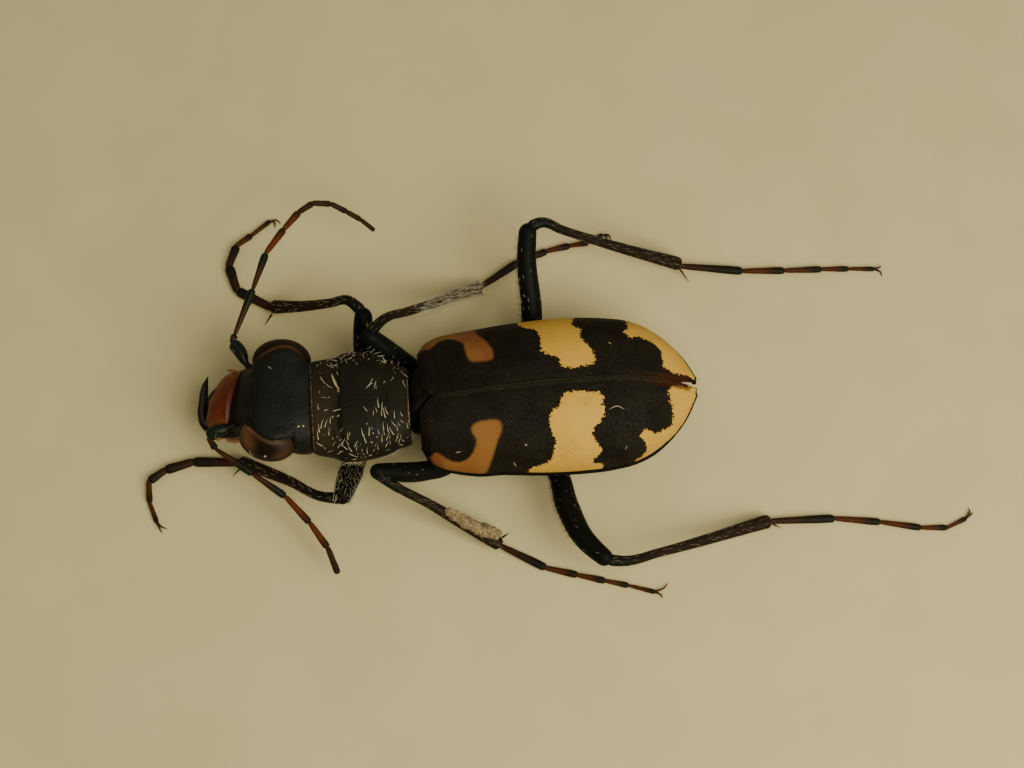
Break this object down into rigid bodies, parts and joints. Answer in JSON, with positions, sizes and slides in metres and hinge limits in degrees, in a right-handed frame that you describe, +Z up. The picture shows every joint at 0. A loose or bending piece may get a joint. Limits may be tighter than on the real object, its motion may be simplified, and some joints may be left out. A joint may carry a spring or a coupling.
{
  "type": "tiger beetle",
  "caption": "Life-size tiger beetle standing with its long legs and feelers spread, black elytra with orange and cream patches, big eyes and crossed sickle jaws.",
  "frame": {"origin": "on the floor, under the middle of the stance's bounding box", "axes": "+X towards the tips of the elytra, so the head points to -X; +Y towards the beetle's right side; +Z up"},
  "size_m": [0.0306, 0.0159, 0.0048],
  "materials": {
    "blue_black": "satin, finely wrinkled, blue-black",
    "black": "satin black with a green cast",
    "elytra": "velvety black, finely granulate, with orange and cream patches",
    "eye": "glossy dark brown with tan bands",
    "labrum_red": "glossy orange-red",
    "limb_black": "glossy black-brown with a metallic green cast",
    "toe_red": "glossy dark red",
    "antenna_green": "glossy metallic green-black",
    "antenna_brown": "satin red-brown",
    "palp_cream": "glossy cream"
  },
  "bodies": {
    "root": {"head": "blue_black", "eye_right": "eye", "eye_left": "eye", "labrum": "labrum_red", "mandible_left": "black", "mandible_right": "black", "palp_left": "palp_cream", "palp_right": "palp_cream", "antenna_right_scape": "antenna_green", "antenna_right_base": "antenna_green", "antenna_right_tip": "antenna_brown", "antenna_left_scape": "antenna_green", "antenna_left_base": "antenna_green", "antenna_left_tip": "antenna_brown", "prothorax": "black", "thorax": "black", "abdomen": "black", "scutellum": "black", "elytron_right": "elytra", "elytron_left": "elytra", "femur_front_right": "limb_black", "tibia_front_right": "limb_black", "tarsus_front_right": "toe_red", "femur_front_left": "limb_black", "tibia_front_left": "limb_black", "tarsus_front_left": "toe_red", "femur_middle_right": "limb_black", "tibia_middle_right": "limb_black", "tarsus_middle_right": "toe_red", "femur_middle_left": "limb_black", "tibia_middle_left": "limb_black", "tarsus_middle_left": "toe_red", "femur_hind_right": "limb_black", "tibia_hind_right": "limb_black", "tarsus_hind_right": "toe_red", "femur_hind_left": "limb_black", "tibia_hind_left": "limb_black", "tarsus_hind_left": "toe_red"}
  },
  "joints": []
}
